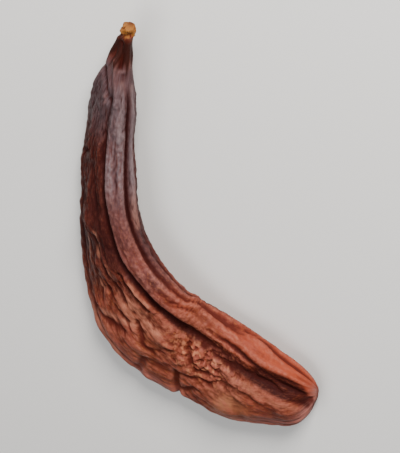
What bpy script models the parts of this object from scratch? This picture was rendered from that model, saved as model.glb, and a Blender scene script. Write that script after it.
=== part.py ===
# A dried carob pod with the stub of its stalk, grown as one piece and lying on its broad side.
# Metres, +Z up. +X runs from the blunt tip towards the stalk, and the hollow side of the bend faces -Y.
import math

import bmesh
import bpy
import numpy as np
from mathutils import Vector, noise

MM = 0.001

# Driving dimensions, in millimetres and degrees. A station is a distance along the pod's middle line.
LENGTH = 142.6  # station of the blunt tip
STALK_END = -1.8  # station of the stalk's broken end
FLOOR_SINK = 0.9  # how much of the lowest bumps is pressed flat where the pod lies
CORNER = 0.84  # 1 makes the section an ellipse, less squares it off
TIP_ROUND = 7.5
STALK_ROUND = 1.0

# The plan curve: it leaves the stalk at START_HEADING, and each turn is (from, over, degrees).
START_HEADING = -78.0
TURNS = [
    (3.0, 12.0, 2.0),
    (18.0, 36.0, 15.0),
    (54.0, 30.0, 20.0),
    (80.0, 28.0, 46.0),
    (114.0, 26.0, 25.0),
]

# Half-width, half-thickness, roll that lifts the hollow side, and clearance of the underside.
HALF_WIDTH = [
    (0, 1.4), (3, 1.5), (7, 2.1), (11, 3.0), (15, 4.6), (20, 6.2), (28, 7.7), (40, 8.2), (56, 9.4),
    (69, 11.6), (83, 15.2), (93, 17.2), (102, 16.7), (110, 15.3), (122, 14.1), (133, 10.8),
    (140, 8.6), (145, 7.0),
]
HALF_THICKNESS = [
    (0, 1.4), (3, 1.4), (8, 2.0), (12, 2.9), (20, 4.3), (40, 4.8), (58, 5.2),
    (88, 5.8), (118, 5.6), (134, 5.0), (145, 4.0),
]
ROLL = [(0, 30), (18, 36), (52, 36), (72, 24), (90, 10), (106, 4), (126, 5), (145, 6)]
CLEARANCE = [
    (0, 9.2), (12, 6.2), (22, 1.8), (34, 0.0), (44, -0.1), (58, -0.1), (70, -0.6), (84, -0.2),
    (96, 0), (110, 0.2), (120, 0.5), (130, 0.7), (145, 2.6),
]

# The main furrow below the upper lip, the second line inside the lip, and the sunken strip that holds both
# near the tip: girth from the hollow side's seam, depth and width along the stations.
FURROW = {
    "girth": [(14, 3.6), (22, 5.2), (32, 6.2), (50, 6.6), (66, 7.2), (76, 6.6), (82, 6.8), (90, 8.0),
              (102, 8.4), (112, 9.2), (122, 9.0), (130, 8.6), (136, 9.0), (146, 8.0)],
    "depth": [(12, 0), (20, 0.8), (60, 1.0), (76, 1.5), (104, 2.0), (114, 1.3), (122, 1.2), (128, 1.3),
              (136, 1.2), (142, 0.4)],
    "width": [(14, 0.9), (60, 1.1), (104, 1.7), (114, 2.2), (122, 2.0), (130, 1.5), (146, 1.4)],
}
SECOND = {
    "girth": [(108, 4.6), (114, 3.8), (120, 4.2), (126, 5.0), (131, 4.4), (136, 3.4), (142, 2.8)],
    "depth": [(108, 0), (113, 1.0), (121, 1.1), (127, 0.7), (132, 1.0), (141, 0.8), (144, 0)],
    "width": [(108, 0.9), (146, 1.1)],
}
VALLEY = {
    "girth": [(98, 8.2), (112, 6.9), (128, 6.9), (136, 6.2), (142, 5.4)],
    "depth": [(96, 0), (106, 0.6), (116, 0.9), (124, 1.2), (129, 2.4), (140, 2.6), (143, 1.0), (145, 0)],
    "width": [(98, 2.2), (116, 2.8), (128, 2.3), (140, 2.0)],
}

# Cracks (negative) and folds (positive) of the two faces: height, width and points as (station, girth).
UPPER_MARKS = [
    (-0.9, 0.9, [(73, 10.0), (80, 10.6), (86, 11.2)]),
    (0.8, 0.8, [(74, 8.5), (80, 8.8), (87, 9.6)]),
    (-0.7, 0.8, [(62, 12.5), (72, 14.0), (82, 15.6)]),
    (-0.7, 0.9, [(78, 18.5), (84, 20.5), (88, 20.0)]),
    (0.6, 1.1, [(84, 17.5), (91, 20.5)]),
    (-0.8, 1.3, [(84, 29.0), (87, 28.5), (88.5, 26.5), (90, 24.8)]),
    (-0.6, 0.9, [(89, 17.5), (92, 19.5), (95.5, 22.5), (98.5, 22.5)]),
    (-0.9, 0.9, [(98.9, 34.5), (98.6, 31.0), (98.0, 27.5)]),
    (-1.1, 0.9, [(109, 34.0), (107.6, 30.5), (106.4, 26.5), (105.8, 23.5)]),
    (-1.0, 0.9, [(109.5, 30.0), (112, 25.0)]),
    (-1.1, 1.0, [(105, 12.0), (107, 15.5), (110, 18.0), (113, 17.0)]),
    (-0.9, 0.9, [(105.8, 23.5), (109, 21.8), (112, 20.3), (115, 20.2)]),
    (-0.35, 1.3, [(119, 16.5), (121, 18.6), (123, 19.8)]),
    (0.8, 1.4, [(117, 13.0), (122, 13.4), (129, 13.4)]),
    (-0.35, 1.3, [(126, 14.6), (129, 15.6), (133, 14.9)]),
    (-0.5, 1.3, [(123.5, 22.0), (125, 24.0), (125.5, 26.5)]),
    (0.8, 0.9, [(127, 6.5), (131, 6.3), (135, 7.4)]),
    (0.6, 1.3, [(88, 34.0), (95, 35.5), (101, 34.5)]),
    (-0.6, 0.8, [(34, 16.0), (39, 14.0), (41, 17.5)]),
    (0.8, 2.2, [(66, -3.6), (74, -4.4), (84, -3.8)]),
    (-0.6, 0.9, [(12, 1.2), (20, 1.6), (27, 1.2)]),
    (-0.9, 0.8, [(3.5, 2.4), (10, 2.0)]),
]
LOWER_MARKS = [
    (-0.9, 1.2, [(22, 6.0), (50, 7.2), (84, 8.2), (104, 8.8)]),
    (-0.8, 1.0, [(70, 12.5), (82, 14.0), (94, 14.6)]),
    (-0.9, 1.0, [(88, 30.0), (93, 26.0), (98, 27.0)]),
    (-0.9, 1.0, [(101, 16.0), (106, 19.5), (112, 20.5), (116, 18.0)]),
    (-0.9, 1.0, [(108, 33.0), (110, 28.0), (106, 24.0)]),
    (-0.8, 1.0, [(120, 14.0), (127, 16.5), (134, 15.0)]),
    (0.7, 1.5, [(86, 20.0), (95, 19.0), (101, 21.0)]),
    (0.7, 1.5, [(112, 13.0), (121, 19.5), (128, 20.0)]),
    (-0.7, 0.9, [(30, 12.0), (44, 13.0), (58, 14.0)]),
]

# Swellings of the upper face: height, station, girth, reach along and reach across.
SWELLINGS = [
    (1.3, 121, 26, 7, 5), (0.9, 94, 30, 8, 6), (0.8, 103, 17, 7, 5), (0.7, 135, 13, 7, 4),
    (0.7, 60, 14, 10, 5),
]

# The lips of the hollow side: height of the upper one and of the far one, where each begins and starts
# to fall by girth, over how much it falls, the depth of the seam between them and where it closes up.
LIP_HEIGHT = [(112, 0.7), (124, 1.5), (132, 1.6), (141, 0.8)]
FAR_LIP_HEIGHT = [(40, 0.0), (60, 0.3), (84, 0.7), (112, 0.7), (124, 1.5), (132, 1.6), (141, 0.8)]
LIP_ROOT = (0.4, 1.4)
LIP_EDGE = [(124, 5.0), (136, 3.2), (143, 2.6)]
LIP_FALL = 2.2
FAR_LIP_FALL = 7.0
SEAM_DEPTH = [(12, 0), (20, 0.7), (54, 0.7), (84, 0.2), (112, 0.1), (124, 0)]
SEAM_CLOSES = (60, 88)

# Rolls beside the rim, as height, distance from it and width, and the height of the line on the rim itself.
RIM_ROLLS = [(0.5, 2.4, 1.7), (-0.25, 5.6, 1.6)]
RIM_LINE = -0.5

# Uneven growth, as height, grain along the pod, fineness round it and place in the noise.
SWELL = (0.9, 13.0, 1.5, 3.0)
FOLDS = (0.6, 17.0, 4.2, 11.0)
DENTS = (0.6, 6.0, 3.0, 27.0)

# Seeds that show through, each face as shares of the half girth, and where things begin and end by station.
SEED_HEIGHT = 0.35
SEED_PITCH = 12.5
FIRST_SEED = 46
FACE = (0.25, 0.4, 0.65, 0.8)
SEEDED = (40, 55, 118, 130)
BODY_STARTS = (12, 24)
SWELL_STARTS = (14, 40)
DENTS_START = (76, 88)

# The gathered collar below the stalk: height, folds round it, station and reach.
COLLAR_HEIGHT = 0.45
COLLAR_FOLDS = 5
COLLAR_STATION = 7.5
COLLAR_REACH = 3.0

# Counts of the surface grid, how evenly it is spaced round the section, and its narrowest mark.
STATIONS = 130
AROUND = 44
EVENNESS = 0.6
FINEST = 1.3


def along(keys, s, soften=4.0):
    """Reads a list of (station, value) at s, with its corners rounded off."""
    stations, values = zip(*keys)
    offsets = np.linspace(-soften, soften, 9)
    return sum(np.interp(s + offset, stations, values) for offset in offsets) / len(offsets)


def step_up(low, high, value):
    share = np.clip((value - low) / (high - low), 0.0, 1.0)
    return share * share * (3 - 2 * share)


def stretch(ends, value):
    """1 between the second and third of ends, falling to 0 at the first and the last."""
    return step_up(ends[0], ends[1], value) * (1 - step_up(ends[2], ends[3], value))


def bump(distance, width):
    return np.exp(-((distance / width) ** 2))


def grain(s, angle, step, ring, seed):
    """Smooth noise on the skin: step is its grain along the pod in mm, ring its fineness round it."""
    places = np.stack([s / step + seed, ring * np.cos(angle), ring * np.sin(angle)], axis=-1)
    values = [noise.noise(Vector(place)) for place in places.reshape(-1, 3)]
    return np.array(values).reshape(s.shape)


def roughness(s, angle, height, step, ring, seed):
    return height * grain(s, angle, step, ring, seed)


def near(s, girth, points):
    """Distance on the skin from a line through points."""
    nearest = np.full_like(s, 1e3)
    for (s0, g0), (s1, g1) in zip(points, points[1:]):
        run = (s1 - s0) ** 2 + (g1 - g0) ** 2
        share = np.clip(((s - s0) * (s1 - s0) + (girth - g0) * (g1 - g0)) / run, 0, 1)
        nearest = np.minimum(nearest, np.hypot(s - s0 - share * (s1 - s0), girth - g0 - share * (g1 - g0)))
    return nearest


def crease(s, girth, line):
    """Depth of a long line whose girth, depth and width are given along the stations."""
    width = along(line["width"], s)
    kept = np.maximum(width, FINEST)
    return along(line["depth"], s) * bump(girth - along(line["girth"], s), kept) * np.sqrt(width / kept)


def marks(s, girth, half, listed):
    """Height of the listed cracks and folds, also where they run on over the rim."""
    girth = np.where(girth > -half / 2, girth, girth + 2 * half)
    height = np.zeros_like(s)
    for size, width, points in listed:
        kept = max(width, FINEST)
        height += size * math.sqrt(width / kept) * bump(near(s, girth, points), kept)
    return height


def lips(s, girth, half):
    """The two lips of the hollow side, parted on the neck by the seam, and the rim of the other side."""
    reach = np.abs(girth)
    parted = (1 - step_up(*SEAM_CLOSES, s)) * (1 - step_up(*LIP_ROOT, reach))
    raised = np.where(girth < 0, along(FAR_LIP_HEIGHT, s), along(LIP_HEIGHT, s)) * (1 - parted)
    edge = along(LIP_EDGE, s)
    fall = np.where(girth < 0, FAR_LIP_FALL, LIP_FALL)
    height = raised * (1 - step_up(edge, edge + fall, reach)) - along(SEAM_DEPTH, s) * bump(girth, FINEST)
    rim = half - reach
    height += sum(size * bump(rim - distance, width) for size, distance, width in RIM_ROLLS)
    return (height + RIM_LINE * bump(rim, FINEST)) * step_up(*BODY_STARTS, s)


def lumps(s, angle, girth, half):
    """Uneven swelling: seeds that show through the faces, shallow dents and lengthways folds."""
    face = stretch(FACE, np.abs(girth) / half)
    seeds = SEED_HEIGHT * np.cos(2 * math.pi * (s - FIRST_SEED) / SEED_PITCH) * stretch(SEEDED, s)
    growth = roughness(s, angle, *SWELL) + roughness(s, angle, *FOLDS)
    dents = roughness(s, angle, *DENTS) * step_up(*DENTS_START, s)
    return growth * step_up(*SWELL_STARTS, s) + (seeds + dents) * face


def relief(s, angle, girth, half):
    """Height of the skin over the plain section. Girth is 0 on the hollow side's seam, + on the upper."""
    upper = step_up(-0.5, 0.5, girth)
    height = lips(s, girth, half) + lumps(s, angle, girth, half)
    height -= (crease(s, girth, FURROW) + crease(s, girth, SECOND) + crease(s, girth, VALLEY)) * upper
    height += marks(s, girth, half, UPPER_MARKS) + marks(s, -girth, half, LOWER_MARKS)
    for size, station, place, long, wide in SWELLINGS:
        height += size * np.exp(-(((s - station) / long) ** 2) - ((girth - place) / wide) ** 2)
    height += COLLAR_HEIGHT * np.cos(COLLAR_FOLDS * angle) * bump(s - COLLAR_STATION, COLLAR_REACH)
    height[:, [0, -1]] = height[:, [0, -1]].mean(axis=1, keepdims=True)
    return height


def spine(s):
    """Plan positions of the middle line at stations s, with the headings there in radians."""
    fine = np.linspace(STALK_END, LENGTH, 1461)
    heading = np.full_like(fine, START_HEADING)
    for start, over, degrees in TURNS:
        heading += degrees * step_up(start, start + over, fine)
    heading = np.radians(heading)
    step = fine[1] - fine[0]
    x = np.concatenate([[0.0], np.cumsum(-np.cos(heading[:-1]) * step)])
    y = np.concatenate([[0.0], np.cumsum(-np.sin(heading[:-1]) * step)])
    turn = math.atan2(-y[-1], -x[-1])
    cos, sin = math.cos(turn), math.sin(turn)
    x, y = x * cos + y * sin, y * cos - x * sin
    return np.interp(s, fine, x), np.interp(s, fine, y), np.interp(s, fine, heading - turn)


def closing(s):
    """1 along the pod, falling to 0 at the blunt tip and at the stalk's end."""
    tip = np.clip((s - (LENGTH - TIP_ROUND)) / TIP_ROUND, 0.0, 1.0)
    stalk = np.clip((STALK_END + STALK_ROUND - s) / STALK_ROUND, 0.0, 1.0)
    return (1 - tip**2.3) ** (1 / 2.1) * (1 - stalk**3) ** (1 / 2.5)


def oval(angle, width, thick):
    across = width * np.sign(np.cos(angle)) * np.abs(np.cos(angle)) ** CORNER
    up = thick * np.sign(np.sin(angle)) * np.abs(np.sin(angle)) ** CORNER
    return across, up


def section(s, around):
    """The plain section at stations s: angles round it, places across and up, directions out, and girth."""
    end = closing(s)[:, None]
    width = along(HALF_WIDTH, s)[:, None] * end
    thick = along(HALF_THICKNESS, s)[:, None] * end
    fine = np.linspace(-math.pi, math.pi, 721)
    across, up = oval(fine, width, thick)
    girth = np.pad(np.hypot(np.diff(across), np.diff(up)).cumsum(axis=1), ((0, 0), (1, 0)))
    half = girth[:, -1:] / 2
    spread = EVENNESS * girth / np.maximum(half, 0.01) + (1 - EVENNESS) * (fine / math.pi + 1)
    shares = np.linspace(0, 1, around + 1)
    angle = np.array([np.interp(shares * row[-1], row, fine) for row in spread])
    girth = np.array([np.interp(place, fine, row) for place, row in zip(angle, girth)]) - half
    across, up = oval(angle, width, thick)
    out = np.stack([np.cos(angle) / np.maximum(width, 0.1), np.sin(angle) / np.maximum(thick, 0.1)])
    return angle, across, up, out / np.hypot(*out), girth, np.maximum(half, 0.5)


def surface(stations, around):
    """Points of the pod's skin, in millimetres, on a grid of stations by around."""
    even = np.linspace(0.0, 1.0, stations + 1)
    s = STALK_END + (LENGTH - STALK_END) * (even - 0.05 * np.sin(2 * np.pi * even))
    angle, across, up, out, girth, half = section(s, around)
    s = np.repeat(s[:, None], around + 1, axis=1)
    roll = np.radians(along(ROLL, s))
    under = (across * np.sin(roll) + up * np.cos(roll)).min(axis=1, keepdims=True)
    height = relief(s, angle, girth, half) * closing(s)
    across = across + height * out[0]
    up = up + height * out[1]
    x, y, heading = spine(s)
    side = across * np.cos(roll) - up * np.sin(roll)
    lift = across * np.sin(roll) + up * np.cos(roll) - under + along(CLEARANCE, s)
    return np.stack([x + side * np.sin(heading), y - side * np.cos(heading), lift], axis=-1)


def placed(points):
    """Sets the pod over the origin, with its lowest bumps pressed flat at height 0."""
    points[..., 2] -= points[..., 2].min() + FLOOR_SINK
    points[..., 2] = np.maximum(points[..., 2], 0.0)
    points[..., :2] -= (points.min(axis=(0, 1)) + points.max(axis=(0, 1)))[:2] / 2
    return points


def skin(stations, around):
    """A sheet wrapped round the pod's middle line and closed along its seam and ends."""
    bm = bmesh.new()
    bmesh.ops.create_grid(bm, x_segments=stations, y_segments=around, size=1.0)
    points = placed(surface(stations, around))
    for vertex in bm.verts:
        i = round((vertex.co.x + 1) / 2 * stations)
        j = round((vertex.co.y + 1) / 2 * around)
        vertex.co = Vector(points[i, j]) * MM
    bmesh.ops.remove_doubles(bm, verts=bm.verts, dist=0.00002)
    bmesh.ops.recalc_face_normals(bm, faces=bm.faces)
    return bm


def brown():
    material = bpy.data.materials.new("pod_brown")
    material.use_nodes = True
    shader = material.node_tree.nodes["Principled BSDF"]
    shader.inputs["Base Color"].default_value = (0.20, 0.062, 0.040, 1)
    shader.inputs["Roughness"].default_value = 0.5
    return material


def main():
    for old in list(bpy.data.objects):
        bpy.data.objects.remove(old)
    mesh = bpy.data.meshes.new("pod")
    bm = skin(STATIONS, AROUND)
    bm.to_mesh(mesh)
    bm.free()
    mesh.shade_smooth()
    mesh.materials.append(brown())
    pod = bpy.data.objects.new("pod", mesh)
    bpy.context.scene.collection.objects.link(pod)


main()
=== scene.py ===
# The looks of a dried carob pod: its wrinkled skin, its colours, the floor, the light and the camera.
# Lengths in the form's own values are millimetres, and everything placed in the scene is in metres.
import math

import bmesh
import bpy
import numpy as np
from mathutils import Matrix, Vector, noise


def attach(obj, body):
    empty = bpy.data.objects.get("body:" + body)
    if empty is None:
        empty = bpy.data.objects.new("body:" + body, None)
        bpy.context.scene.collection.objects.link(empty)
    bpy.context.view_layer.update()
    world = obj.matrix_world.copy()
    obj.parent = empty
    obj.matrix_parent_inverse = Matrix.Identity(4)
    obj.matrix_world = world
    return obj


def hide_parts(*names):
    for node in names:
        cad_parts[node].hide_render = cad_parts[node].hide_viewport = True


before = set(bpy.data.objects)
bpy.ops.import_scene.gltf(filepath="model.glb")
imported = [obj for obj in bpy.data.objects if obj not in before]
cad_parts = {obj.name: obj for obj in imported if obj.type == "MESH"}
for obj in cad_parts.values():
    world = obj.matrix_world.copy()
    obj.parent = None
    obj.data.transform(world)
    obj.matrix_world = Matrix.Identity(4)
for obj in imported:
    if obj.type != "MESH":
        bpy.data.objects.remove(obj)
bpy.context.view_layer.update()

MM = 0.001

# The form, with the same values as the part's source. A station is a distance along the pod's middle line,
# and girth is the distance round it from the hollow side's seam, positive on the upper face.
LENGTH = 142.6  # station of the blunt tip
STALK_END = -1.8  # station of the stalk's broken end
FLOOR_SINK = 0.9  # how much of the lowest bumps is pressed flat where the pod lies
CORNER = 0.84  # 1 makes the section an ellipse, less squares it off

# How far from the tip and from the stalk's end the pod closes, and the two powers that shape each closing.
TIP_ROUND = 7.5
STALK_ROUND = 1.0
TIP_CURVE = (2.3, 1 / 2.1)
STALK_CURVE = (3, 1 / 2.5)

# The plan curve: it leaves the stalk at START_HEADING, and each turn is (from, over, degrees).
START_HEADING = -78.0
TURNS = [
    (3.0, 12.0, 2.0),
    (18.0, 36.0, 15.0),
    (54.0, 30.0, 20.0),
    (80.0, 28.0, 46.0),
    (114.0, 26.0, 25.0),
]

# Half-width, half-thickness, roll that lifts the hollow side, and clearance of the underside.
HALF_WIDTH = [
    (0, 1.4), (3, 1.5), (7, 2.1), (11, 3.0), (15, 4.6), (20, 6.2), (28, 7.7), (40, 8.2), (56, 9.4),
    (69, 11.6), (83, 15.2), (93, 17.2), (102, 16.7), (110, 15.3), (122, 14.1), (133, 10.8),
    (140, 8.6), (145, 7.0),
]
HALF_THICKNESS = [
    (0, 1.4), (3, 1.4), (8, 2.0), (12, 2.9), (20, 4.3), (40, 4.8), (58, 5.2),
    (88, 5.8), (118, 5.6), (134, 5.0), (145, 4.0),
]
ROLL = [(0, 30), (18, 36), (52, 36), (72, 24), (90, 10), (106, 4), (126, 5), (145, 6)]
CLEARANCE = [
    (0, 9.2), (12, 6.2), (22, 1.8), (34, 0.0), (44, -0.1), (58, -0.1), (70, -0.6), (84, -0.2),
    (96, 0), (110, 0.2), (120, 0.5), (130, 0.7), (145, 2.6),
]

# The main furrow below the upper lip, the second line inside the lip, and the sunken strip that holds both
# near the tip: girth, depth and width along the stations.
FURROW = {
    "girth": [(14, 3.6), (22, 5.2), (32, 6.2), (50, 6.6), (66, 7.2), (76, 6.6), (82, 6.8), (90, 8.0),
              (102, 8.4), (112, 9.2), (122, 9.0), (130, 8.6), (136, 9.0), (146, 8.0)],
    "depth": [(12, 0), (20, 0.8), (60, 1.0), (76, 1.5), (104, 2.0), (114, 1.3), (122, 1.2), (128, 1.3),
              (136, 1.2), (142, 0.4)],
    "width": [(14, 0.9), (60, 1.1), (104, 1.7), (114, 2.2), (122, 2.0), (130, 1.5), (146, 1.4)],
}
SECOND = {
    "girth": [(108, 4.6), (114, 3.8), (120, 4.2), (126, 5.0), (131, 4.4), (136, 3.4), (142, 2.8)],
    "depth": [(108, 0), (113, 1.0), (121, 1.1), (127, 0.7), (132, 1.0), (141, 0.8), (144, 0)],
    "width": [(108, 0.9), (146, 1.1)],
}
VALLEY = {
    "girth": [(98, 8.2), (112, 6.9), (128, 6.9), (136, 6.2), (142, 5.4)],
    "depth": [(96, 0), (106, 0.6), (116, 0.9), (124, 1.2), (129, 2.4), (140, 2.6), (143, 1.0), (145, 0)],
    "width": [(98, 2.2), (116, 2.8), (128, 2.3), (140, 2.0)],
}

# Cracks (negative) and folds (positive) of the two faces: height, width and points as (station, girth).
UPPER_MARKS = [
    (-0.9, 0.9, [(73, 10.0), (80, 10.6), (86, 11.2)]),
    (0.8, 0.8, [(74, 8.5), (80, 8.8), (87, 9.6)]),
    (-0.7, 0.8, [(62, 12.5), (72, 14.0), (82, 15.6)]),
    (-0.7, 0.9, [(78, 18.5), (84, 20.5), (88, 20.0)]),
    (0.6, 1.1, [(84, 17.5), (91, 20.5)]),
    (-0.8, 1.3, [(84, 29.0), (87, 28.5), (88.5, 26.5), (90, 24.8)]),
    (-0.6, 0.9, [(89, 17.5), (92, 19.5), (95.5, 22.5), (98.5, 22.5)]),
    (-0.9, 0.9, [(98.9, 34.5), (98.6, 31.0), (98.0, 27.5)]),
    (-1.1, 0.9, [(109, 34.0), (107.6, 30.5), (106.4, 26.5), (105.8, 23.5)]),
    (-1.0, 0.9, [(109.5, 30.0), (112, 25.0)]),
    (-1.1, 1.0, [(105, 12.0), (107, 15.5), (110, 18.0), (113, 17.0)]),
    (-0.9, 0.9, [(105.8, 23.5), (109, 21.8), (112, 20.3), (115, 20.2)]),
    (-0.35, 1.3, [(119, 16.5), (121, 18.6), (123, 19.8)]),
    (0.8, 1.4, [(117, 13.0), (122, 13.4), (129, 13.4)]),
    (-0.35, 1.3, [(126, 14.6), (129, 15.6), (133, 14.9)]),
    (-0.5, 1.3, [(123.5, 22.0), (125, 24.0), (125.5, 26.5)]),
    (0.8, 0.9, [(127, 6.5), (131, 6.3), (135, 7.4)]),
    (0.6, 1.3, [(88, 34.0), (95, 35.5), (101, 34.5)]),
    (-0.6, 0.8, [(34, 16.0), (39, 14.0), (41, 17.5)]),
    (0.8, 2.2, [(66, -3.6), (74, -4.4), (84, -3.8)]),
    (-0.6, 0.9, [(12, 1.2), (20, 1.6), (27, 1.2)]),
    (-0.9, 0.8, [(3.5, 2.4), (10, 2.0)]),
]
LOWER_MARKS = [
    (-0.9, 1.2, [(22, 6.0), (50, 7.2), (84, 8.2), (104, 8.8)]),
    (-0.8, 1.0, [(70, 12.5), (82, 14.0), (94, 14.6)]),
    (-0.9, 1.0, [(88, 30.0), (93, 26.0), (98, 27.0)]),
    (-0.9, 1.0, [(101, 16.0), (106, 19.5), (112, 20.5), (116, 18.0)]),
    (-0.9, 1.0, [(108, 33.0), (110, 28.0), (106, 24.0)]),
    (-0.8, 1.0, [(120, 14.0), (127, 16.5), (134, 15.0)]),
    (0.7, 1.5, [(86, 20.0), (95, 19.0), (101, 21.0)]),
    (0.7, 1.5, [(112, 13.0), (121, 19.5), (128, 20.0)]),
    (-0.7, 0.9, [(30, 12.0), (44, 13.0), (58, 14.0)]),
]

# Swellings of the upper face: height, station, girth, reach along and reach across.
SWELLINGS = [
    (1.3, 121, 26, 7, 5), (0.9, 94, 30, 8, 6), (0.8, 103, 17, 7, 5), (0.7, 135, 13, 7, 4),
    (0.7, 60, 14, 10, 5),
]

# The lips of the hollow side: height of the upper one and of the far one, where each begins, where the upper
# face does and where the lips start to fall, by girth, over how much each falls, the depth of the seam
# between them and where it closes up.
LIP_HEIGHT = [(112, 0.7), (124, 1.5), (132, 1.6), (141, 0.8)]
FAR_LIP_HEIGHT = [(40, 0.0), (60, 0.3), (84, 0.7), (112, 0.7), (124, 1.5), (132, 1.6), (141, 0.8)]
LIP_ROOT = (0.4, 1.4)
UPPER_FACE_STARTS = (-0.5, 0.5)
LIP_EDGE = [(124, 5.0), (136, 3.2), (143, 2.6)]
LIP_FALL = 2.2
FAR_LIP_FALL = 7.0
SEAM_DEPTH = [(12, 0), (20, 0.7), (54, 0.7), (84, 0.2), (112, 0.1), (124, 0)]
SEAM_CLOSES = (60, 88)

# Rolls beside the rim, as height, distance from it and width, and the height of the line on the rim itself.
RIM_ROLLS = [(0.5, 2.4, 1.7), (-0.25, 5.6, 1.6)]
RIM_LINE = -0.5

# Uneven growth, as height, grain along the pod, fineness round it and place in the noise.
SWELL = (0.9, 13.0, 1.5, 3.0)
FOLDS = (0.6, 17.0, 4.2, 11.0)
DENTS = (0.6, 6.0, 3.0, 27.0)

# Seeds that show through, each face as shares of the half girth, and where things begin and end by station.
SEED_HEIGHT = 0.35
SEED_PITCH = 12.5
FIRST_SEED = 46
FACE = (0.25, 0.4, 0.65, 0.8)
SEEDED = (40, 55, 118, 130)
BODY_STARTS = (12, 24)
SWELL_STARTS = (14, 40)
DENTS_START = (76, 88)

# The gathered collar below the stalk: height, folds round it, station and reach.
COLLAR_HEIGHT = 0.45
COLLAR_FOLDS = 5
COLLAR_STATION = 7.5
COLLAR_REACH = 3.0

# Ridges and a hollow that fan out from the stalk and others by the bend, too fine for the solid.
FANNED = [
    (0.5, 0.7, [(9, 3.6), (14, 3.4), (20, 3.3)]),
    (0.6, 0.8, [(3, 4.0), (9, 6.5), (14, 9.5), (20, 13.0)]),
    (-0.6, 1.0, [(13, 8.0), (16, 6.6), (19, 5.4)]),
    (0.5, 0.8, [(62, 12.0), (67, 12.8), (70, 13.4)]),
    (0.4, 0.7, [(70, 16.0), (76, 18.5), (80, 20.5)]),
    (0.4, 0.7, [(66, 9.6), (70, 10.2), (74, 11.2)]),
]

# Fine folds and streaks along the pod, the wandering that bends them and the patches where they are deeper,
# each as the noise's grain along the pod, fineness round it and place.
WANDER = (9.0, 2.2, 31.0)
DRIFT = (7.0, 2.6, 37.0)
FINE_FOLDS = (8.0, 4.6, 41.0)
FINE_STREAKS = (6.0, 9.0, 53.0)
PATCHES = (10.0, 2.4, 61.0)

# Their heights, how far they are bent along the pod in mm and round it in radians, and how deep they are in
# and off the patches.
FOLD_HEIGHT = 0.5
STREAK_HEIGHT = 0.6
FOLD_BEND = (3.0, 0.35)
STREAK_BEND = (2.0, 0.2)
PATCH_DEPTH = (0.5, 1.6)
PATCH_LEVEL = 0.25
PATCH_MOST = 0.6

# Where they begin, where the neck ends and the tip smooths them, by station, and the faces as shares of the
# half girth. Their strength is given off the faces and on them, then what the neck and the tip take.
FINE_STARTS = (10, 20)
NECK_ENDS = (66, 90)
TIP_SMOOTHS = (112, 123)
FINE_FACE = (0.26, 0.34, 0.88, 0.98)
OFF_FACE = 0.3
ON_FACE = 0.7
NECK_TAKES = 0.15
NECK_TAKES_FOLDS = 0.3
TIP_TAKES = 0.75

# The smoother place outside the bend: what it takes, its station and reach, and the girths where it begins.
CALM = (0.55, 97, 10.0)
CALM_STARTS = (20, 27)

# Grit all over the skin: its height and noise, and what the tip takes from it.
GRIT_HEIGHT = 0.22
GRIT = (1.7, 15.0, 67.0)
GRIT_FADES = (114, 124)
TIP_TAKES_GRIT = 0.5

# Dried flakes by the furrow, as strength, station, girth and reaches. Then the noise of the plates, how far
# they are bent along the pod, how unlike their levels are, and the depth and width of their cracks.
FLAKED = (1.0, 112, 13.0, 11.0, 7.0)
PLATES = (1.9, 9.5, 5.0)
PLATE_BEND = 2.0
PLATE_LEVELS = 0.7
LEVEL_PICK = 7.3  # spreads the plates over the noise that gives their levels
PLATE_CRACK = 0.4
PLATE_CRACK_WIDTH = 0.2

# The knobbly end of the stalk: stations where it ends, its swelling and its noises with their heights.
KNOB_ENDS = (0.4, 1.8)
KNOB_SWELLING = 0.1
KNOBS = [(0.7, 1.5, 1.6, 83.0), (0.4, 0.8, 4.0, 91.0)]

# Painted highlights along ridges of the skin, as pale streaks: strength, width and points as (station,
# girth).
PALE_STREAK_HIGHLIGHTS = [
    (1.0, 0.6, [(60.5, 11.5), (64, 12.8), (68, 14.2)]),
    (0.7, 0.5, [(64, 17.5), (68, 18.8), (72, 21.0)]),
    (1.0, 0.6, [(74.5, 19.0), (79, 21.4)]),
    (0.6, 0.5, [(70, 12.2), (75, 14.2)]),
    (0.7, 1.5, [(79.5, 14.6), (83, 14.0), (89, 14.6), (95, 15.2)]),
    (0.6, 1.5, [(83, 16.8), (88, 18.0), (92, 18.0)]),
    (0.9, 0.6, [(75.5, 8.7), (80, 9.1), (84, 9.4)]),
    (0.8, 0.9, [(85.4, 27.0), (86.8, 23.4), (89.2, 19.8)]),
    (0.7, 1.0, [(82.5, 37.0), (84, 33.4), (87.5, 32.2), (91, 32.6), (94, 34.0)]),
    (0.5, 0.5, [(12, 8.5), (15, 11.5), (21, 14.0)]),
    (0.5, 0.6, [(14, 1.5), (20, 1.8), (30, 2.2)]),
    (0.35, 0.9, [(113, 12.0), (120, 13.2), (126, 12.4), (133, 12.0), (138, 11.0)]),
    (0.6, 0.7, [(15, -1.4), (24, -1.7), (40, -1.8), (58, -1.6)]),
]

# Counts of the solid's grid and of this finer one, how evenly each is spaced round the section, and the
# narrowest mark that it carries.
SOLID_GRID = (130, 44)
SOLID_EVENNESS = 0.6
SOLID_FINEST = 1.3
SKIN_GRID = (480, 200)
SKIN_EVENNESS = 0.8
SKIN_FINEST = 0.45

# How much closer the stations are at the two ends, and steps for measuring round a section and along the pod.
END_CROWDING = 0.05
GIRTH_STEPS = 720
SPINE_STEPS = 1460
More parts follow.
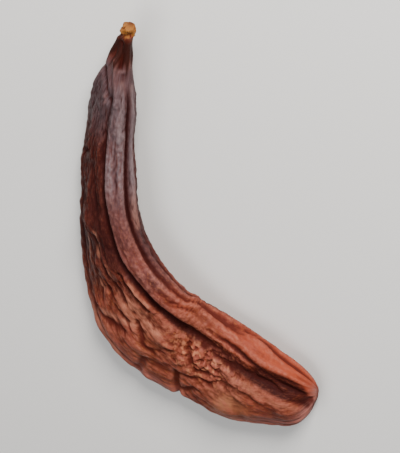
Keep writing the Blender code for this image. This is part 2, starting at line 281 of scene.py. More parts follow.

# How strong the bloom, the orange band and its painted highlight, the paler face and the painted pink rim
# light are along the stations.
BLOOM_ALONG = [(9, 0), (14, 0.95), (48, 0.95), (58, 0.5), (70, 0.3), (84, 0.15), (92, 0.05), (110, 0)]
WARM_ALONG = [(80, 0), (88, 0.5), (98, 0.25), (106, 0.05), (114, 0.3), (126, 0.95), (140, 1.0)]
PALE_ALONG = [
    (76, 0), (86, 0.6), (93, 0.9), (100, 0.8), (108, 0.6), (116, 0.9), (122, 0.95), (130, 0.28),
    (138, 0.15), (145, 0.05),
]
RIM_ALONG = [(80, 0), (88, 0.8), (106, 0.9), (112, 0.4), (122, 0.8), (142, 1.0)]

# The skin of the lips by distance from the seam: where it ends, and the share of it left in the seam.
LIP_SKIN_ENDS = (5.6, 7.2)
SEAM_SKIN_ENDS = (0.3, 1.2)
SEAM_SKIN = 0.4

# Stations of the very end of the tip, and girths over which the lower side turns into the upper one.
END_STARTS = (140.2, 141.8)
UPPER_STARTS = (-1.0, 1.0)

# Bloom: what the far lip's outer part takes from it as painted shade, what the worn stretch of the neck
# takes, and what the skin under the stalk has at least.
FAR_SHADE_TAKES = 0.8
FAR_STARTS = (1.8, 3.2)
FAR_ENDS = (70, 92)
WORN = (42, 52, 60, 70)
WORN_TAKES = 0.35
STALK_BLOOM = 0.7
STALK_BLOOM_STARTS = (7, 11)
STALK_BLOOM_ENDS = (24, 38)

# Darker skin of the neck, and painted shade on its face off the upper lip: its share in the worn stretch and
# under the stalk, and where it begins and ends.
WORN_DARK = 0.5
STALK_DARK = 0.7
STALK_DARK_ENDS = (20, 32)
DARK_STARTS = (8, 12.5)
DARK_ENDS = (64, 90)

# Painted shade in hollows and painted highlights on crests: passes of smoothing for near and far ones, what
# counts as hollow as least depth and depth to the full, crests alike, and what the neck's dark skin takes
# from the crests' highlights.
NEAR_PASSES = 10
FAR_PASSES = 90
NEAR_HOLLOW = (0.01, 0.22)
FAR_HOLLOW = (0.05, 0.8)
NEAR_CREST = 0.13
FAR_CREST = 1.5
DARK_TAKES = 0.78

# Where the painted shade in hollows is softer: past these stations and girths near the tip, and past a girth
# outside the bend.
SOFT_TIP = ((114, 122), (11.0, 13.0))
SOFT_BEND = (103, 9.0)
SOFT_BEND_STARTS = (23.0, 27.0)
SOFT_TAKES = 0.45

# Painted shade in the gaps: depths of the lines where it begins and is full, the trough's strength and start,
# the painted shade beside the furrow and in the seam, as strength, girth and width, with the stations where
# it lies, and a paler place, as what it takes, its station and its reach.
GAP_DEPTHS = (0.25, 1.1)
TROUGH_SHADE = 1.2
TROUGH_STARTS = (122, 132)
FURROW_SHADE = (0.9, 9.4, 1.5)
FURROW_SHADED = (44, 54, 68, 76)
SEAM_SHADE = (0.95, -0.1, 0.6)
SEAM_SHADED = (13, 18, 52, 70)
GAP_FADES = (0.45, 110, 8.0)

# The painted pink rim light: distance from the rim and width, what each gains towards the tip, what the width
# gains round a station outside the bend, and the strength on the very end with the girths where it begins.
RIM_DISTANCE = 2.0
RIM_DISTANCE_GAIN = 2.0
RIM_DISTANCE_GROWS = (118, 130)
RIM_WIDTH = 2.6
RIM_WIDTH_GAIN = 1.2
RIM_WIDTH_GROWS = (122, 134)
RIM_BEND = (2.6, 96, 8.0)
RIM_END = 0.3
RIM_END_STARTS = (3.0, 6.0)

# The orange band on the upper lip, orange skin with a painted highlight along it: its girth and width, and
# how both shift near the tip.
WARM_GIRTH = 2.2
WARM_WIDTH = 2.6
WARM_GAIN = 2.0
WARM_GROWS = (112, 124)

# Pale skin on the lip too, flaky and tan places as strength, station, girth and reaches, and streaked skin.
PALE_LIP = 0.75
PALE_LIP_STRETCH = (84, 92, 110, 118)
FLAKY = (1.0, 110, 14.0, 11.0, 6.5)
TAN_PATCHES = [(1.0, 121, 22.5, 5.0, 5.0), (0.7, 124, 29.0, 5.0, 2.5)]
STREAKED = (66, 76, 92, 104)
STREAKED_STARTS = (7.0, 9.0)

# Edges of the stalk's broken end and of the collar, each made uneven by a noise with its height.
STALK_ENDS = (0.2, 1.7)
STALK_EDGE = (2.0, 1.5, 2.0, 97.0)
COLLAR_STARTS = (0.8, 3.5)
COLLAR_ENDS = (8.0, 12.5)
COLLAR_EDGE = (4.0, 5.0, 4.0, 71.0)

# Points of the skin nearer each other than this are one, in metres, and the millimetres of station to one
# step of the patterns that run along the pod.
WELD = 0.000008
FLOW_STEP = 10

# The photograph's viewpoint, in degrees and metres, how far the pod is off the middle of the view, and the
# height of the point that the camera and the lights face.
VIEW_AZIMUTH = 37.7
VIEW_ELEVATION = 50.0
VIEW_ROLL = -146.0
VIEW_DISTANCE = 0.45
LENS = 136.6
AIM_RIGHT = 0.0140
AIM_UP = 0.0056
AIM_HEIGHT = 0.008
NEAREST_SEEN = 0.01

# Lights, as distance and size in metres, watts and colour. The key's direction is in shares of the
# photograph's right, up and towards the camera, and the overhead light's in the scene's own axes.
KEY_FROM = (0.14, 0.36, 0.98)
KEY_LIGHT = (0.6, 0.20, 7.4, (1.0, 0.97, 0.94))
OVERHEAD_FROM = (0.1, 0.2, 1.0)
OVERHEAD_LIGHT = (0.7, 0.5, 2.8, (1.0, 1.0, 1.0))
SURROUND = (0.93, 0.95, 1.0, 1)
SURROUND_STRENGTH = 0.22

# The floor: half its width in metres, its colour and roughness.
FLOOR_REACH = 1.5
FLOOR_COLOUR = (0.72, 0.71, 0.69, 1)
FLOOR_ROUGHNESS = 0.8


def along(keys, s, soften=4.0):
    """Reads a list of (station, value) at s, with its corners rounded off."""
    stations, values = zip(*keys)
    offsets = np.linspace(-soften, soften, 9)
    return sum(np.interp(s + offset, stations, values) for offset in offsets) / len(offsets)


def step_up(low, high, value):
    """0 up to low, 1 from high on and smooth between them."""
    share = np.clip((value - low) / (high - low), 0.0, 1.0)
    return share * share * (3 - 2 * share)


def stretch(ends, value):
    """1 between the second and third of ends, falling to 0 at the first and the last."""
    return step_up(ends[0], ends[1], value) * (1 - step_up(ends[2], ends[3], value))


def bump(distance, width):
    """1 at no distance, falling smoothly to almost nothing at twice the width."""
    return np.exp(-((distance / width) ** 2))


def grain(s, angle, step, ring, seed):
    """Smooth noise on the skin: step is its grain along the pod in mm, ring its fineness round it."""
    places = np.stack([s / step + seed, ring * np.cos(angle), ring * np.sin(angle)], axis=-1)
    values = [noise.noise(Vector(place)) for place in places.reshape(-1, 3)]
    return np.array(values).reshape(s.shape)


def roughness(s, angle, height, step, ring, seed):
    """The same noise with a height, so that one list of values gives all of it."""
    return height * grain(s, angle, step, ring, seed)


def near(s, girth, points):
    """Distance on the skin from a line through points."""
    nearest = np.full_like(s, 1e3)
    for (s0, g0), (s1, g1) in zip(points, points[1:]):
        run = (s1 - s0) ** 2 + (g1 - g0) ** 2
        share = np.clip(((s - s0) * (s1 - s0) + (girth - g0) * (g1 - g0)) / run, 0, 1)
        nearest = np.minimum(nearest, np.hypot(s - s0 - share * (s1 - s0), girth - g0 - share * (g1 - g0)))
    return nearest


def crease(s, girth, line, finest):
    """Depth of a long line whose girth, depth and width are given along the stations."""
    width = along(line["width"], s)
    kept = np.maximum(width, finest)
    return along(line["depth"], s) * bump(girth - along(line["girth"], s), kept) * np.sqrt(width / kept)


def marks(s, girth, half, listed, finest):
    """Height of the listed cracks and folds, also where they run on over the rim."""
    girth = np.where(girth > -half / 2, girth, girth + 2 * half)
    height = np.zeros_like(s)
    for size, width, points in listed:
        kept = max(width, finest)
        height += size * math.sqrt(width / kept) * bump(near(s, girth, points), kept)
    return height


def lips(s, girth, half, finest):
    """The two lips of the hollow side, parted on the neck by the seam, and the rim of the other side."""
    reach = np.abs(girth)
    parted = (1 - step_up(*SEAM_CLOSES, s)) * (1 - step_up(*LIP_ROOT, reach))
    raised = np.where(girth < 0, along(FAR_LIP_HEIGHT, s), along(LIP_HEIGHT, s)) * (1 - parted)
    edge = along(LIP_EDGE, s)
    fall = np.where(girth < 0, FAR_LIP_FALL, LIP_FALL)
    height = raised * (1 - step_up(edge, edge + fall, reach)) - along(SEAM_DEPTH, s) * bump(girth, finest)
    rim = half - reach
    height += sum(size * bump(rim - distance, width) for size, distance, width in RIM_ROLLS)
    return (height + RIM_LINE * bump(rim, finest)) * step_up(*BODY_STARTS, s)


def lumps(s, angle, girth, half):
    """Uneven swelling: seeds that show through the faces, shallow dents and lengthways folds."""
    face = stretch(FACE, np.abs(girth) / half)
    seeds = SEED_HEIGHT * np.cos(2 * math.pi * (s - FIRST_SEED) / SEED_PITCH) * stretch(SEEDED, s)
    growth = roughness(s, angle, *SWELL) + roughness(s, angle, *FOLDS)
    dents = roughness(s, angle, *DENTS) * step_up(*DENTS_START, s)
    return growth * step_up(*SWELL_STARTS, s) + (seeds + dents) * face


def relief(s, angle, girth, half, finest):
    """Height of the skin over the plain section. Girth is 0 on the hollow side's seam, + on the upper."""
    upper = step_up(*UPPER_FACE_STARTS, girth)
    height = lips(s, girth, half, finest) + lumps(s, angle, girth, half)
    height -= sum(crease(s, girth, line, finest) for line in (FURROW, SECOND, VALLEY)) * upper
    height += marks(s, girth, half, UPPER_MARKS, finest) + marks(s, -girth, half, LOWER_MARKS, finest)
    for size, station, place, long, wide in SWELLINGS:
        height += size * np.exp(-(((s - station) / long) ** 2) - ((girth - place) / wide) ** 2)
    height += COLLAR_HEIGHT * np.cos(COLLAR_FOLDS * angle) * bump(s - COLLAR_STATION, COLLAR_REACH)
    return height


def cells(s, turn, step, ring, seed):
    """Distance from the border between two plates of dried skin, and a level for each plate."""
    places = np.stack([s / step + seed, ring * np.cos(turn), ring * np.sin(turn)], axis=-1)
    border = []
    level = []
    for place in places.reshape(-1, 3):
        distances, points = noise.voronoi(Vector(place))
        border.append(distances[1] - distances[0])
        level.append(noise.cell(points[0] * LEVEL_PICK))
    return np.array(border).reshape(s.shape), np.array(level).reshape(s.shape)


def spot(s, girth, strength, station, place, long, wide):
    """An oval patch of the skin, strongest in its middle."""
    return strength * bump(s - station, long) * bump(girth - place, wide)


def strip(girth, strength, place, width):
    """A strip that runs along the pod at one girth."""
    return strength * bump(girth - place, width)


def ruts(s, turn, girth, half, wander):
    """Folds and streaks along the pod: deepest on the faces, patchy, smoother on the neck and the tip."""
    drift = grain(s, turn, *DRIFT)
    folds = np.abs(grain(s + FOLD_BEND[0] * wander, turn + FOLD_BEND[1] * drift, *FINE_FOLDS))
    streaks = np.abs(grain(s + STREAK_BEND[0] * drift, turn + STREAK_BEND[1] * wander, *FINE_STREAKS))
    body = step_up(*FINE_STARTS, s)
    neck = body * (1 - step_up(*NECK_ENDS, s))
    face = stretch(FINE_FACE, np.abs(girth) / half)
    patches = np.clip(grain(s, turn, *PATCHES) + PATCH_LEVEL, 0, PATCH_MOST)
    takes, station, reach = CALM
    height = FOLD_HEIGHT * folds * (1 - NECK_TAKES_FOLDS * neck) + STREAK_HEIGHT * streaks
    height *= body * (OFF_FACE - NECK_TAKES * neck + ON_FACE * face)
    height *= 1 - TIP_TAKES * step_up(*TIP_SMOOTHS, s)
    height *= PATCH_DEPTH[0] + PATCH_DEPTH[1] * patches
    return height * (1 - takes * bump(s - station, reach) * step_up(*CALM_STARTS, girth))


def flakes(s, turn, wander):
    """Plates of dried skin at slightly different levels, with cracks between them."""
    border, level = cells(s + PLATE_BEND * wander, turn, *PLATES)
    return PLATE_LEVELS * (level - 0.5) - PLATE_CRACK * (1 - step_up(0.0, PLATE_CRACK_WIDTH, border))


def wrinkles(s, girth, half):
    """The relief that only this skin carries: ruts, grit, flakes, fanned ridges and the stalk's knobs."""
    turn = math.pi * girth / half
    wander = grain(s, turn, *WANDER)
    height = ruts(s, turn, girth, half, wander)
    grit = GRIT_HEIGHT * grain(s, turn, *GRIT) * step_up(*FINE_STARTS, s)
    height += grit * (1 - TIP_TAKES_GRIT * step_up(*GRIT_FADES, s))
    height += spot(s, girth, *FLAKED) * flakes(s, turn, wander)
    height += marks(s, girth, half, FANNED, 0.0)
    knobs = KNOB_SWELLING + sum(roughness(s, turn, *knob) for knob in KNOBS)
    return height + (1 - step_up(*KNOB_ENDS, s)) * knobs


def spine(s):
    """Plan positions of the middle line at stations s, with the headings there in radians."""
    fine = np.linspace(STALK_END, LENGTH, SPINE_STEPS + 1)
    heading = np.full_like(fine, START_HEADING)
    for start, over, degrees in TURNS:
        heading += degrees * step_up(start, start + over, fine)
    heading = np.radians(heading)
    step = fine[1] - fine[0]
    x = np.concatenate([[0.0], np.cumsum(-np.cos(heading[:-1]) * step)])
    y = np.concatenate([[0.0], np.cumsum(-np.sin(heading[:-1]) * step)])
    turn = math.atan2(-y[-1], -x[-1])
    cos, sin = math.cos(turn), math.sin(turn)
    x, y = x * cos + y * sin, y * cos - x * sin
    return np.interp(s, fine, x), np.interp(s, fine, y), np.interp(s, fine, heading - turn)


def closing(s):
    """1 along the pod, falling to 0 at the blunt tip and at the stalk's end."""
    tip = np.clip((s - (LENGTH - TIP_ROUND)) / TIP_ROUND, 0.0, 1.0)
    stalk = np.clip((STALK_END + STALK_ROUND - s) / STALK_ROUND, 0.0, 1.0)
    at_tip = (1 - tip ** TIP_CURVE[0]) ** TIP_CURVE[1]
    return at_tip * (1 - stalk ** STALK_CURVE[0]) ** STALK_CURVE[1]


def oval(angle, width, thick):
    """Places across and up on a squared-off ellipse."""
    across = width * np.sign(np.cos(angle)) * np.abs(np.cos(angle)) ** CORNER
    up = thick * np.sign(np.sin(angle)) * np.abs(np.sin(angle)) ** CORNER
    return across, up


def section(s, around, evenness):
    """The plain section at stations s: angles round it, places across and up, directions out, and girth."""
    end = closing(s)[:, None]
    width = along(HALF_WIDTH, s)[:, None] * end
    thick = along(HALF_THICKNESS, s)[:, None] * end
    fine = np.linspace(-math.pi, math.pi, GIRTH_STEPS + 1)
    across, up = oval(fine, width, thick)
    girth = np.pad(np.hypot(np.diff(across), np.diff(up)).cumsum(axis=1), ((0, 0), (1, 0)))
    half = girth[:, -1:] / 2
    spread = evenness * girth / np.maximum(half, 0.01) + (1 - evenness) * (fine / math.pi + 1)
    shares = np.linspace(0, 1, around + 1)
    angle = np.array([np.interp(shares * row[-1], row, fine) for row in spread])
    girth = np.array([np.interp(place, fine, row) for place, row in zip(angle, girth)]) - half
    across, up = oval(angle, width, thick)
    out = np.stack([np.cos(angle) / np.maximum(width, 0.1), np.sin(angle) / np.maximum(thick, 0.1)])
    return angle, across, up, out / np.hypot(*out), girth, np.maximum(half, 0.5)


def surface(grid, evenness, finest, fine=False):
    """Points of the skin in mm, with their station, girth, half girth and height over the plain section."""
    stations, around = grid
    even = np.linspace(0.0, 1.0, stations + 1)
    s = STALK_END + (LENGTH - STALK_END) * (even - END_CROWDING * np.sin(2 * np.pi * even))
    angle, across, up, out, girth, half = section(s, around, evenness)
    s = np.repeat(s[:, None], around + 1, axis=1)
    half = np.repeat(half, around + 1, axis=1)
    roll = np.radians(along(ROLL, s))
    under = (across * np.sin(roll) + up * np.cos(roll)).min(axis=1, keepdims=True)
    height = relief(s, angle, girth, half, finest)
    if fine:
        height += wrinkles(s, girth, half)
    height[:, [0, -1]] = height[:, [0, -1]].mean(axis=1, keepdims=True)
    height *= closing(s)
    across = across + height * out[0]
    up = up + height * out[1]
    x, y, heading = spine(s)
    side = across * np.cos(roll) - up * np.sin(roll)
    lift = across * np.sin(roll) + up * np.cos(roll) - under + along(CLEARANCE, s)
    points = np.stack([x + side * np.sin(heading), y - side * np.cos(heading), lift], axis=-1)
    return points, s, girth, half, height


def rest_shift():
    """What the solid was moved by to lie centred over the origin with its lowest bumps pressed flat."""
    points = surface(SOLID_GRID, SOLID_EVENNESS, SOLID_FINEST)[0]
    low, high = points.min(axis=(0, 1)), points.max(axis=(0, 1))
    middle = (low + high) / 2
    return np.array([-middle[0], -middle[1], -low[2] - FLOOR_SINK])


def blurred(height, passes):
    """The height smoothed over its neighbours: the seam's two columns are one and the same."""
    for _ in range(passes):
        ring = height[:, :-1]
        ring = 0.5 * ring + 0.25 * (np.roll(ring, 1, axis=1) + np.roll(ring, -1, axis=1))
        height = np.concatenate([ring, ring[:, :1]], axis=1)
        longer = np.pad(height, ((1, 1), (0, 0)), mode="edge")
        height = 0.5 * height + 0.25 * (longer[:-2] + longer[2:])
    return height


def bloom_share(s, reach, lip, upper):
    """Grey bloom on the lips of the neck and all round under the stalk, taken off the far lip's outer part as
    painted shade.
    """
    # The far lip's outer part loses its bloom as painted shade.
    far = (1 - upper) * step_up(*FAR_STARTS, reach) * (1 - step_up(*FAR_ENDS, s))
    bloom = along(BLOOM_ALONG, s) * lip * (1 - FAR_SHADE_TAKES * far) * (1 - WORN_TAKES * stretch(WORN, s))
    under_stalk = step_up(*STALK_BLOOM_STARTS, s) * (1 - step_up(*STALK_BLOOM_ENDS, s))
    return np.maximum(bloom, STALK_BLOOM * under_stalk)


def dark_and_shade_share(s, upper_lip):
    """Darker skin of the neck: darker brown with painted shade off its upper lip, and on it where it is worn
    and under the stalk.
    """
    on_lip = WORN_DARK * stretch(WORN, s) + STALK_DARK * (1 - step_up(*STALK_DARK_ENDS, s))
    return np.maximum(1 - upper_lip, on_lip) * step_up(*DARK_STARTS, s) * (1 - step_up(*DARK_ENDS, s))


def hollow_shade_share(s, girth, near_depth, far_depth):
    """Painted shade in hollows, told by their depth under the smoothed skin, and softer on parts of the face.
    """
    narrow = (near_depth - NEAR_HOLLOW[0]) / NEAR_HOLLOW[1]
    wide = (far_depth - FAR_HOLLOW[0]) / FAR_HOLLOW[1]
    station, reach = SOFT_BEND
    tip = step_up(*SOFT_TIP[0], s) * step_up(*SOFT_TIP[1], girth)
    soft = np.maximum(tip, bump(s - station, reach) * step_up(*SOFT_BEND_STARTS, girth))
    return np.clip(narrow + wide, 0, 1) * (1 - SOFT_TAKES * soft)


def gap_shade_share(s, girth, upper, end):
    """Painted shade in the gaps: the furrow and the line inside it, the tip's trough, beside the furrow and
    in the seam.
    """
    lines = sum(crease(s, girth, line, SKIN_FINEST) for line in (FURROW, SECOND))
    lines += TROUGH_SHADE * crease(s, girth, VALLEY, SKIN_FINEST) * step_up(*TROUGH_STARTS, s)
    gap_shade = np.maximum(step_up(*GAP_DEPTHS, lines), strip(girth, *FURROW_SHADE) * stretch(FURROW_SHADED, s))
    takes, station, reach = GAP_FADES
    gap_shade *= upper * (1 - takes * bump(s - station, reach)) * (1 - end)
    return gap_shade + strip(girth, *SEAM_SHADE) * stretch(SEAM_SHADED, s)


def rim_light_share(s, reach, half, end):
    """Painted pink rim light on the outside of the bend, and a little of it over the very end of the tip."""
    gain, station, spread = RIM_BEND
    distance = RIM_DISTANCE + RIM_DISTANCE_GAIN * step_up(*RIM_DISTANCE_GROWS, s)
    width = RIM_WIDTH + RIM_WIDTH_GAIN * step_up(*RIM_WIDTH_GROWS, s) + gain * bump(s - station, spread)
    rim = along(RIM_ALONG, s) * bump(half - reach - distance, width)
    return np.maximum(rim, RIM_END * end * step_up(*RIM_END_STARTS, reach))


def orange_and_highlight_share(s, girth):
    """The orange band on the upper lip, with a painted highlight along it, which widens towards the tip."""
    gain = WARM_GAIN * step_up(*WARM_GROWS, s)
    return along(WARM_ALONG, s) * bump(girth - WARM_GIRTH + gain, WARM_WIDTH + gain)


def masks(s, girth, half, height):
    """What the material reads at each place: the share of each kind of skin, painted shade and painted
    highlight, from 0 to 1.
    """
    turn = math.pi * girth / half
    reach = np.abs(girth)
    upper = step_up(*UPPER_STARTS, girth)
    end = step_up(*END_STARTS, s)
    seam = SEAM_SKIN + (1 - SEAM_SKIN) * step_up(*SEAM_SKIN_ENDS, reach)
    lip = (1 - step_up(*LIP_SKIN_ENDS, reach)) * seam
    # Depth under the smoothed skin: hollows get painted shade, crests painted highlights.
    near_depth = blurred(height, NEAR_PASSES) - height
    far_depth = blurred(height, FAR_PASSES) - height
    crest_highlight = np.clip(-near_depth / NEAR_CREST - far_depth / FAR_CREST, 0, 1)
    dark = dark_and_shade_share(s, lip * upper)
    past_collar = step_up(*COLLAR_ENDS, s + roughness(s, turn, *COLLAR_EDGE))
    return {
        "hollow": hollow_shade_share(s, girth, near_depth, far_depth),
        "crest_highlight": crest_highlight * (1 - DARK_TAKES * dark),
        "gap_shade": gap_shade_share(s, girth, upper, end),
        "rim": rim_light_share(s, reach, half, end) * upper,
        "bloom": bloom_share(s, reach, lip, upper),
        "orange_and_highlight": orange_and_highlight_share(s, girth),
        "pale": along(PALE_ALONG, s) * np.maximum(1 - lip, PALE_LIP * stretch(PALE_LIP_STRETCH, s)),
        "flaky": spot(s, girth, *FLAKY),
        "stalk": 1 - step_up(*STALK_ENDS, s + roughness(s, turn, *STALK_EDGE)),
        "collar": step_up(*COLLAR_STARTS, s) * (1 - past_collar),
        "dark": dark,
        "streaked": stretch(STREAKED, s) * step_up(*STREAKED_STARTS, girth),
        "streak_highlight": np.clip(marks(s, girth, half, PALE_STREAK_HIGHLIGHTS, 0.0), 0, 1),
        "tan": sum(spot(s, girth, *patch) for patch in TAN_PATCHES),
    }


def pod_skin():
    """A sheet wrapped round the pod's middle line and closed along its seam and ends."""
    stations, around = SKIN_GRID
    points, s, girth, half, height = surface(SKIN_GRID, SKIN_EVENNESS, SKIN_FINEST, fine=True)
    points += rest_shift()
    points[..., 2] = np.maximum(points[..., 2], 0.0)
    turn = math.pi * girth / half
    bm = bmesh.new()
    bmesh.ops.create_grid(bm, x_segments=stations, y_segments=around, size=1.0)
    shares = masks(s, girth, half, height)
    layers = [(bm.verts.layers.float.new(name), share) for name, share in shares.items()]
    flow = bm.verts.layers.float_vector.new("flow")
    for vertex in bm.verts:
        i = round((vertex.co.x + 1) / 2 * stations)
        j = round((vertex.co.y + 1) / 2 * around)
        vertex.co = Vector(points[i, j]) * MM
        vertex[flow] = Vector((s[i, j] / FLOW_STEP, math.cos(turn[i, j]), math.sin(turn[i, j])))
        for layer, share in layers:
            vertex[layer] = share[i, j]
    bmesh.ops.remove_doubles(bm, verts=bm.verts, dist=WELD)
    bmesh.ops.recalc_face_normals(bm, faces=bm.faces)
    mesh = bpy.data.meshes.new("pod_skin")
    bm.to_mesh(mesh)
    bm.free()
    mesh.shade_smooth()
    mesh.materials.append(skin_material())
    skin = bpy.data.objects.new("pod_skin", mesh)
    bpy.context.scene.collection.objects.link(skin)
    return skin


class Tree:
    """Short ways to add and join shader nodes in a material."""

    def __init__(self, material):
        material.use_nodes = True
        self.tree = material.node_tree
        self.shader = self.tree.nodes["Principled BSDF"]

    def node(self, kind, **settings):
        made = self.tree.nodes.new(kind)
        for name, value in settings.items():
            setattr(made, name, value)
        return made

    def feed(self, socket, value):
        if isinstance(value, bpy.types.NodeSocket):
            self.tree.links.new(value, socket)
        else:
            socket.default_value = value

    def mask(self, name):
        return self.node("ShaderNodeAttribute", attribute_name=name).outputs["Fac"]

    def flow(self, scale):
        """Places on the skin by station and girth, so that a pattern runs along the pod."""
        read = self.node("ShaderNodeAttribute", attribute_name="flow")
        scaled = self.node("ShaderNodeMapping")
        self.feed(scaled.inputs["Vector"], read.outputs["Vector"])
        self.feed(scaled.inputs["Scale"], scale)
        return scaled.outputs["Vector"]

    def place(self):
        return self.node("ShaderNodeTexCoord").outputs["Object"]

    def noise(self, vector, scale, detail, rough):
        made = self.node("ShaderNodeTexNoise")
        for name, value in (("Vector", vector), ("Scale", scale), ("Detail", detail), ("Roughness", rough)):
            self.feed(made.inputs[name], value)
        return made.outputs["Fac"]

    def span(self, value, low, high, to_low=0.0, to_high=1.0):
        """Turns a value between low and high into one between to_low and to_high."""
        made = self.node("ShaderNodeMapRange")
        self.feed(made.inputs["Value"], value)
        ends = {"From Min": low, "From Max": high, "To Min": to_low, "To Max": to_high}
        for name, number in ends.items():
            self.feed(made.inputs[name], number)
        return made.outputs["Result"]

    def math(self, operation, first, second):
        made = self.node("ShaderNodeMath", operation=operation)
        self.feed(made.inputs[0], first)
        self.feed(made.inputs[1], second)
        return made.outputs[0]

    def mix(self, share, first, second):
        made = self.node("ShaderNodeMix", data_type="RGBA")
        self.feed(made.inputs["Factor"], share)
        self.feed(made.inputs["A"], first)
        self.feed(made.inputs["B"], second)
        return made.outputs["Result"]


# Colours of the skin, as linear red, green and blue.
BROWN = (0.150, 0.020, 0.008, 1)
DEEP_BROWN = (0.050, 0.006, 0.003, 1)
PALE_BROWN = (0.215, 0.054, 0.038, 1)
PALE_OCHRE = (0.205, 0.055, 0.023, 1)
# Dark brown of the neck, partly painted shade on its face off the upper lip.
NECK_BROWN_AND_SHADE = (0.032, 0.004, 0.003, 1)
BLOOM = (0.084, 0.060, 0.067, 1)
# Orange skin of the upper lip, which also carries a painted highlight along the band.
ORANGE = (0.300, 0.048, 0.019, 1)
OCHRE_BROWN = (0.085, 0.013, 0.006, 1)
FLAKE_TAN = (0.420, 0.150, 0.075, 1)
GOLD = (0.320, 0.100, 0.026, 1)
OCHRE_TAN = (0.330, 0.125, 0.060, 1)
# Tan of the streaked skin, and of the painted highlights along ridges.
STREAK_TAN = (0.390, 0.145, 0.088, 1)
# Painted pink rim light at the edge of the face.
RIM_LIGHT_PINK = (0.330, 0.135, 0.115, 1)
# Painted highlights on the crests: tan, and grey where there is bloom.
CREST_HIGHLIGHT_TAN = (0.310, 0.086, 0.054, 1)
CREST_HIGHLIGHT_GREY = (0.200, 0.150, 0.155, 1)
# Painted shade in the skin's hollows.
CRACK_SHADE = (0.060, 0.0060, 0.0030, 1)
# Deeper painted shade in the furrow, the trough and the seam, and in hollows of dark or bloomed skin.
DEEP_SHADE = (0.019, 0.0009, 0.0005, 1)
STALK_TAN = (0.225, 0.085, 0.0165, 1)
COLLAR_BROWN = (0.024, 0.004, 0.002, 1)

# Patterns that run along the pod, as how they are stretched along it and round it, then scale, detail and
# roughness, and patterns that lie evenly, as scale, detail and roughness.
FLOWING = {
    "streaks": ((1.0, 9.0, 9.0), 2.2, 5.0, 0.65),
    "flecks": ((3.0, 9.0, 9.0), 4.0, 3.0, 0.6),
    "lines": ((2.2, 13.0, 13.0), 3.0, 3.0, 0.5),
}
EVEN = {
    "blotches": (110.0, 3.0, 0.6),
    "shades": (95.0, 2.0, 0.5),
    "patches": (190.0, 3.0, 0.55),
    "specks": (900.0, 2.0, 0.6),
    "flakes": (620.0, 2.0, 0.5),
}

# Where the blotches turn the ground to deep brown, and where the shades turn pale skin from brown to ochre.
GROUND_TURNS = (0.35, 0.65)
PALE_TURNS = (0.42, 0.58)

# Layers over the ground, from first to last: the mask that holds each one, the pattern that breaks it up,
# two values of the pattern with the layer's strengths there, and its colour. In the four places None
# stands for all of the skin, no pattern, full strength, and the blended colour that has the mask's name.
LAYERS = [
    ("pale", "streaks", (0.38, 0.62, 0.15, 1.0), None),
    (None, "streaks", (0.5, 0.68, 0.0, 0.7), DEEP_BROWN),
    (None, "flecks", (0.54, 0.66, 0.0, 0.5), GOLD),
    ("pale", "patches", (0.51, 0.62, 0.0, 0.85), OCHRE_BROWN),
    ("tan", "patches", (0.4, 0.6, 0.8, 0.3), OCHRE_TAN),
    # Darker brown of the neck, partly painted shade on its face off the upper lip.
    ("dark", "flecks", (0.5, 0.7, 0.95, 0.75), NECK_BROWN_AND_SHADE),
    ("bloom", "streaks", (0.36, 0.66, 1.0, 0.45), BLOOM),
    # Orange skin of the upper lip, with a painted highlight along the band.
    ("orange_and_highlight", "blotches", (0.3, 0.7, 1.0, 0.6), ORANGE),
    # Painted pink rim light along the outer edge.
    ("rim", "streaks", (0.35, 0.6, 1.0, 0.3), RIM_LIGHT_PINK),
    # Painted highlights on the crests of the skin.
    ("crest_highlight", "specks", (0.35, 0.65, 0.1, 0.7), None),
    ("flaky", "flakes", (0.54, 0.62, 0.0, 0.85), FLAKE_TAN),
    ("streaked", "lines", (0.55, 0.68, 0.0, 0.35), STREAK_TAN),
    # Painted highlights along the ridges, as pale streaks.
    ("streak_highlight", "lines", (0.35, 0.55, 0.35, 1.0), None),
    ("collar", None, None, COLLAR_BROWN),
    ("stalk", None, None, STALK_TAN),
    # Painted shade in the hollows of the skin.
    ("hollow", None, 0.9, None),
    # Painted shade in the furrow, the line inside it, the trough at the tip and the seam.
    ("gap_shade", "flecks", (0.4, 0.6, 0.95, 0.7), DEEP_SHADE),
]

# The skin's shine, its roughness at two values of the streaks, and what cracks add to that.
SHINE = 0.13
SKIN_ROUGHNESS = (0.3, 0.7, 0.42, 0.62)
CRACK_ROUGHNESS = 0.25

# Pores pressed into the skin: the share of specks among the streaks, their strength, and depth in metres.
SPECK_SHARE = 0.35
PORE_STRENGTH = 0.45
PORE_DEPTH = 0.0004


def skin_patterns(t):
    """The noises that the layers and the pores read, by name."""
    patterns = {name: t.noise(t.flow(scale), *rest) for name, (scale, *rest) in FLOWING.items()}
    patterns.update({name: t.noise(t.place(), *rest) for name, rest in EVEN.items()})
    return patterns


def layer_share(t, patterns, mask, pattern, strength):
    """How much of a layer shows: its mask, broken up by its pattern."""
    if pattern:
        strength = t.span(patterns[pattern], *strength)
    if mask is None:
        return strength
    if strength is None:
        return t.mask(mask)
    return t.math("MULTIPLY", t.mask(mask), strength)


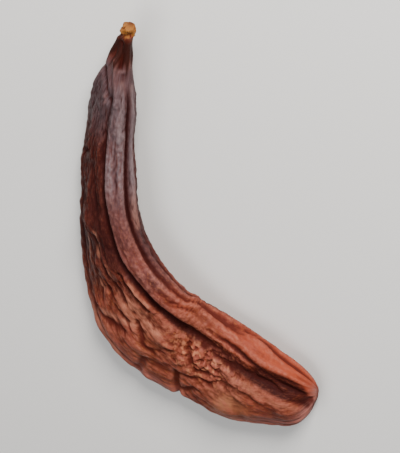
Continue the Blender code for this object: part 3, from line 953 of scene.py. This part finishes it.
def skin_colour(t, patterns):
    """The skin's colour, laid in layers over blotched brown, and the share of each mask's last layer."""
    bloom = t.mask("bloom")
    blended = {
        "pale": t.mix(t.span(patterns["shades"], *PALE_TURNS), PALE_BROWN, PALE_OCHRE),
        # Painted highlights on crests and pale streaks, greyer with bloom, and painted shade in hollows,
        # deeper on dark or bloomed skin.
        "crest_highlight": t.mix(bloom, CREST_HIGHLIGHT_TAN, CREST_HIGHLIGHT_GREY),
        "streak_highlight": t.mix(bloom, STREAK_TAN, CREST_HIGHLIGHT_GREY),
        "hollow": t.mix(t.math("MAXIMUM", t.mask("dark"), bloom), CRACK_SHADE, DEEP_SHADE),
    }
    colour = t.mix(t.span(patterns["blotches"], *GROUND_TURNS), BROWN, DEEP_BROWN)
    shares = {}
    for mask, pattern, strength, own in LAYERS:
        shares[mask] = layer_share(t, patterns, mask, pattern, strength)
        colour = t.mix(shares[mask], colour, own or blended[mask])
    return colour, shares


def skin_material():
    """Dried skin: red-brown, greyer with bloom on the neck, with painted shade in hollows and painted
    highlights on crests.
    """
    material = bpy.data.materials.new("dried_skin")
    t = Tree(material)
    patterns = skin_patterns(t)
    colour, shares = skin_colour(t, patterns)
    t.feed(t.shader.inputs["Base Color"], colour)
    t.shader.inputs["Specular IOR Level"].default_value = SHINE
    crack = t.math("MULTIPLY", t.math("MAXIMUM", t.mask("hollow"), shares["gap_shade"]), CRACK_ROUGHNESS)
    dull = t.math("ADD", t.span(patterns["streaks"], *SKIN_ROUGHNESS), crack)
    t.feed(t.shader.inputs["Roughness"], dull)
    pores = t.math("ADD", t.math("MULTIPLY", patterns["specks"], SPECK_SHARE), patterns["streaks"])
    raised = t.node("ShaderNodeBump")
    raised.inputs["Strength"].default_value = PORE_STRENGTH
    raised.inputs["Distance"].default_value = PORE_DEPTH
    t.feed(raised.inputs["Height"], pores)
    t.feed(t.shader.inputs["Normal"], raised.outputs["Normal"])
    return material


def view_axes():
    """The photograph's right, up and towards-the-camera directions."""
    azimuth, elevation, roll = (math.radians(angle) for angle in (VIEW_AZIMUTH, VIEW_ELEVATION, VIEW_ROLL))
    level = Vector((math.sin(azimuth), -math.cos(azimuth), 0.0))
    towards = level * math.cos(elevation) + Vector((0, 0, math.sin(elevation)))
    right = Vector((math.cos(azimuth), math.sin(azimuth), 0.0))
    up = towards.cross(right)
    turned = Matrix.Rotation(roll, 3, towards)
    return turned @ right, turned @ up, towards


def camera(target):
    """The photograph's view of the pod."""
    right, up, towards = view_axes()
    aim = target + right * AIM_RIGHT + up * AIM_UP
    shot = bpy.data.objects.new("camera", bpy.data.cameras.new("camera"))
    turned = Matrix((right, up, towards)).transposed().to_4x4()
    shot.matrix_world = Matrix.Translation(aim + towards * VIEW_DISTANCE) @ turned
    shot.data.lens = LENS
    shot.data.clip_start = NEAREST_SEEN
    bpy.context.scene.collection.objects.link(shot)
    bpy.context.scene.camera = shot


def soft_light(name, target, direction, distance, size, power, colour):
    """A square lamp that faces the target from one side."""
    light = bpy.data.lights.new(name, "AREA")
    light.size = size
    light.energy = power
    light.color = colour
    lamp = bpy.data.objects.new(name, light)
    lamp.location = target + direction.normalized() * distance
    lamp.rotation_euler = (-direction).to_track_quat("-Z", "Y").to_euler()
    bpy.context.scene.collection.objects.link(lamp)


def studio(target):
    """A key light from the photograph's upper side, a wide light overhead and a pale surround."""
    right, up, towards = view_axes()
    key_from = right * KEY_FROM[0] + up * KEY_FROM[1] + towards * KEY_FROM[2]
    soft_light("key", target, key_from, *KEY_LIGHT)
    soft_light("overhead", target, Vector(OVERHEAD_FROM), *OVERHEAD_LIGHT)
    world = bpy.data.worlds.new("surround")
    world.use_nodes = True
    background = world.node_tree.nodes["Background"]
    background.inputs["Color"].default_value = SURROUND
    background.inputs["Strength"].default_value = SURROUND_STRENGTH
    bpy.context.scene.world = world


def floor():
    """A plain pale plate for the pod to lie on."""
    bm = bmesh.new()
    bmesh.ops.create_grid(bm, x_segments=1, y_segments=1, size=FLOOR_REACH)
    mesh = bpy.data.meshes.new("floor")
    bm.to_mesh(mesh)
    bm.free()
    material = bpy.data.materials.new("pale_floor")
    material.use_nodes = True
    shader = material.node_tree.nodes["Principled BSDF"]
    shader.inputs["Base Color"].default_value = FLOOR_COLOUR
    shader.inputs["Roughness"].default_value = FLOOR_ROUGHNESS
    mesh.materials.append(material)
    plate = bpy.data.objects.new("floor", mesh)
    bpy.context.scene.collection.objects.link(plate)


def main():
    skin = pod_skin()
    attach(skin, "root")
    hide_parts("pod")
    target = Vector((0.0, 0.0, AIM_HEIGHT))
    floor()
    studio(target)
    camera(target)


main()
